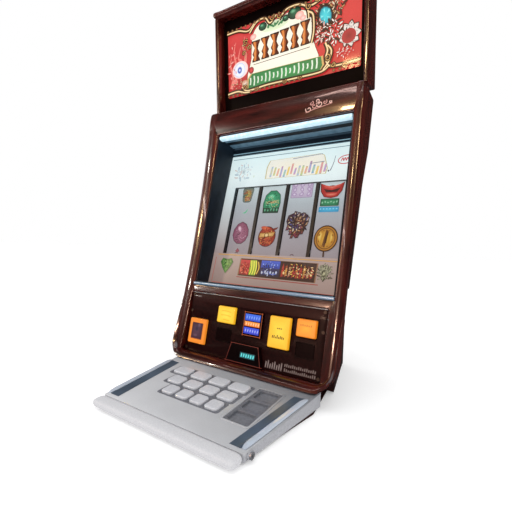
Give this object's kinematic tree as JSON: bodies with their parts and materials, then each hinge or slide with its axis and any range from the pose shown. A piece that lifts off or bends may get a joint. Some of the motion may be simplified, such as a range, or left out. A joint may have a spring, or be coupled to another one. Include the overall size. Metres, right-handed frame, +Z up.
{
  "type": "reel gaming machine",
  "caption": "Reclined reel-strip gaming cabinet with lit marquee, recessed reel window, button panel and key deck",
  "frame": {"origin": "on the resting plane, on the middle plane, at the line 66 mm behind the rear edge of the key deck", "axes": "+X to the player's right, +Y to the back of the machine, +Z up"},
  "size_m": [0.484, 0.632, 1.0871],
  "materials": {
    "mahogany_gloss": "deep red-brown wood-grain with clear lacquer",
    "panel_dark": "very dark maroon gloss",
    "steel_dark": "satin black powder coat",
    "recess_blue": "dark navy satin",
    "silver_trim": "polished silver-blue",
    "lamp_white": "opal diffuser, lit",
    "clear_glass": "clear",
    "lit_art": "back-lit printed sheet",
    "strip_print": "printed reel strip",
    "button_yellow": "lit amber cap",
    "button_orange": "lit orange cap",
    "display_dark": "lit display window",
    "key_grey": "pale grey key",
    "deck_silver": "silver grey",
    "chrome": "polished",
    "rest_grey": "padded grey",
    "steel_bright": "zinc plated",
    "black_plastic": "moulded black"
  },
  "bodies": {
    "cabinet": {"arm_rest": "rest_grey", "base_plate": "steel_dark", "cabinet_shell": "steel_dark", "chrome_rails": "chrome", "cover_screws": "steel_bright", "crown_bar": "mahogany_gloss", "deck_housing": "deck_silver", "deck_plate": "deck_silver", "fan_frame": "black_plastic", "hinge_post_leaves": "steel_bright", "key_guide": "black_plastic", "logic_box": "steel_bright", "marquee_lamp": "lamp_white", "neck_bracket": "steel_dark", "pocket_tray": "deck_silver", "power_inlet": "black_plastic", "power_supply": "steel_bright", "rear_cover": "steel_dark", "reel_frame": "steel_bright", "reel_motors": "black_plastic", "reel_shafts": "steel_bright", "reel_strips": "strip_print", "top_cabinet": "mahogany_gloss"},
    "front_door": {"door_frame": "mahogany_gloss", "door_pan": "steel_dark", "window_bezel": "recess_blue", "sill_lip": "silver_trim", "light_bar": "lamp_white", "display_glass": "clear_glass", "art_panel": "lit_art", "button_panel": "panel_dark", "button_cups": "black_plastic", "credit_display": "display_dark", "label_housing": "panel_dark", "panel_screws": "steel_bright", "hinge_door_leaves": "steel_bright"},
    "marquee_door": {"top_bezel": "panel_dark", "marquee_panel": "lit_art"},
    "fan": {"fan_rotor": "black_plastic"},
    "lock_barrel": {"deck_lock": "chrome"},
    "panel_button_left_body": {"panel_button_left": "button_orange"},
    "panel_button_bet_body": {"panel_button_bet": "button_yellow"},
    "panel_button_play_body": {"panel_button_play": "button_yellow"},
    "panel_button_right_body": {"panel_button_right": "button_orange"},
    "deck_key_11_body": {"deck_key_11": "key_grey"},
    "deck_key_12_body": {"deck_key_12": "key_grey"},
    "deck_key_13_body": {"deck_key_13": "key_grey"},
    "deck_key_14_body": {"deck_key_14": "key_grey"},
    "deck_key_21_body": {"deck_key_21": "key_grey"},
    "deck_key_22_body": {"deck_key_22": "key_grey"},
    "deck_key_23_body": {"deck_key_23": "key_grey"},
    "deck_key_24_body": {"deck_key_24": "key_grey"},
    "deck_key_31_body": {"deck_key_31": "key_grey"},
    "deck_key_32_body": {"deck_key_32": "key_grey"},
    "deck_key_33_body": {"deck_key_33": "key_grey"},
    "deck_key_34_body": {"deck_key_34": "key_grey"},
    "drive_roller_1_body": {"drive_roller_1": "black_plastic"},
    "drive_roller_2_body": {"drive_roller_2": "black_plastic"},
    "drive_roller_3_body": {"drive_roller_3": "black_plastic"},
    "drive_roller_4_body": {"drive_roller_4": "black_plastic"}
  },
  "joints": [
    {"name": "front_door_hinge", "type": "hinge", "parent": "cabinet", "child": "front_door", "pos_m": [-0.222, 0.1296, 0.40689], "axis": [0, -0.185, -0.9827], "range_deg": [0, 95]},
    {"name": "marquee_door_hinge", "type": "hinge", "parent": "cabinet", "child": "marquee_door", "pos_m": [0, 0.12312, 1.05781], "axis": [-1, 0, 0], "range_deg": [0, 75]},
    {"name": "panel_button_left_press", "type": "slide", "parent": "front_door", "child": "panel_button_left_body", "axis": [0, 0.9827, -0.185], "range_m": [0, 0.003], "stiffness_N_per_m": 250, "springref_m": -0.003},
    {"name": "panel_button_bet_press", "type": "slide", "parent": "front_door", "child": "panel_button_bet_body", "axis": [0, 0.9827, -0.185], "range_m": [0, 0.003], "stiffness_N_per_m": 250, "springref_m": -0.003},
    {"name": "panel_button_play_press", "type": "slide", "parent": "front_door", "child": "panel_button_play_body", "axis": [0, 0.9827, -0.185], "range_m": [0, 0.003], "stiffness_N_per_m": 250, "springref_m": -0.003},
    {"name": "panel_button_right_press", "type": "slide", "parent": "front_door", "child": "panel_button_right_body", "axis": [0, 0.9827, -0.185], "range_m": [0, 0.003], "stiffness_N_per_m": 250, "springref_m": -0.003},
    {"name": "deck_key_11_press", "type": "slide", "parent": "cabinet", "child": "deck_key_11_body", "axis": [0, 0.0715, -0.9974], "range_m": [0, 0.0025], "stiffness_N_per_m": 200, "springref_m": -0.003},
    {"name": "deck_key_12_press", "type": "slide", "parent": "cabinet", "child": "deck_key_12_body", "axis": [0, 0.0715, -0.9974], "range_m": [0, 0.0025], "stiffness_N_per_m": 200, "springref_m": -0.003},
    {"name": "deck_key_13_press", "type": "slide", "parent": "cabinet", "child": "deck_key_13_body", "axis": [0, 0.0715, -0.9974], "range_m": [0, 0.0025], "stiffness_N_per_m": 200, "springref_m": -0.003},
    {"name": "deck_key_14_press", "type": "slide", "parent": "cabinet", "child": "deck_key_14_body", "axis": [0, 0.0715, -0.9974], "range_m": [0, 0.0025], "stiffness_N_per_m": 200, "springref_m": -0.003},
    {"name": "deck_key_21_press", "type": "slide", "parent": "cabinet", "child": "deck_key_21_body", "axis": [0, 0.0715, -0.9974], "range_m": [0, 0.0025], "stiffness_N_per_m": 200, "springref_m": -0.003},
    {"name": "deck_key_22_press", "type": "slide", "parent": "cabinet", "child": "deck_key_22_body", "axis": [0, 0.0715, -0.9974], "range_m": [0, 0.0025], "stiffness_N_per_m": 200, "springref_m": -0.003},
    {"name": "deck_key_23_press", "type": "slide", "parent": "cabinet", "child": "deck_key_23_body", "axis": [0, 0.0715, -0.9974], "range_m": [0, 0.0025], "stiffness_N_per_m": 200, "springref_m": -0.003},
    {"name": "deck_key_24_press", "type": "slide", "parent": "cabinet", "child": "deck_key_24_body", "axis": [0, 0.0715, -0.9974], "range_m": [0, 0.0025], "stiffness_N_per_m": 200, "springref_m": -0.003},
    {"name": "deck_key_31_press", "type": "slide", "parent": "cabinet", "child": "deck_key_31_body", "axis": [0, 0.0715, -0.9974], "range_m": [0, 0.0025], "stiffness_N_per_m": 200, "springref_m": -0.003},
    {"name": "deck_key_32_press", "type": "slide", "parent": "cabinet", "child": "deck_key_32_body", "axis": [0, 0.0715, -0.9974], "range_m": [0, 0.0025], "stiffness_N_per_m": 200, "springref_m": -0.003},
    {"name": "deck_key_33_press", "type": "slide", "parent": "cabinet", "child": "deck_key_33_body", "axis": [0, 0.0715, -0.9974], "range_m": [0, 0.0025], "stiffness_N_per_m": 200, "springref_m": -0.003},
    {"name": "deck_key_34_press", "type": "slide", "parent": "cabinet", "child": "deck_key_34_body", "axis": [0, 0.0715, -0.9974], "range_m": [0, 0.0025], "stiffness_N_per_m": 200, "springref_m": -0.003},
    {"name": "reel_drive_1", "type": "hinge", "parent": "cabinet", "child": "drive_roller_1_body", "pos_m": [-0.12145, 0.17679, 0.53707], "axis": [1, 0, 0], "continuous": true},
    {"name": "reel_drive_2", "type": "hinge", "parent": "cabinet", "child": "drive_roller_2_body", "pos_m": [-0.02915, 0.17679, 0.53707], "axis": [1, 0, 0], "continuous": true},
    {"name": "reel_drive_3", "type": "hinge", "parent": "cabinet", "child": "drive_roller_3_body", "pos_m": [0.06315, 0.17679, 0.53707], "axis": [1, 0, 0], "continuous": true},
    {"name": "reel_drive_4", "type": "hinge", "parent": "cabinet", "child": "drive_roller_4_body", "pos_m": [0.15545, 0.17679, 0.53707], "axis": [1, 0, 0], "continuous": true},
    {"name": "fan_spin", "type": "hinge", "parent": "cabinet", "child": "fan", "pos_m": [0, 0.287, 0.33], "axis": [0, 1, 0], "continuous": true},
    {"name": "deck_lock_turn", "type": "hinge", "parent": "cabinet", "child": "lock_barrel", "pos_m": [0.18, -0.28, 0.0125], "axis": [1, 0, 0], "range_deg": [0, 90]}
  ]
}
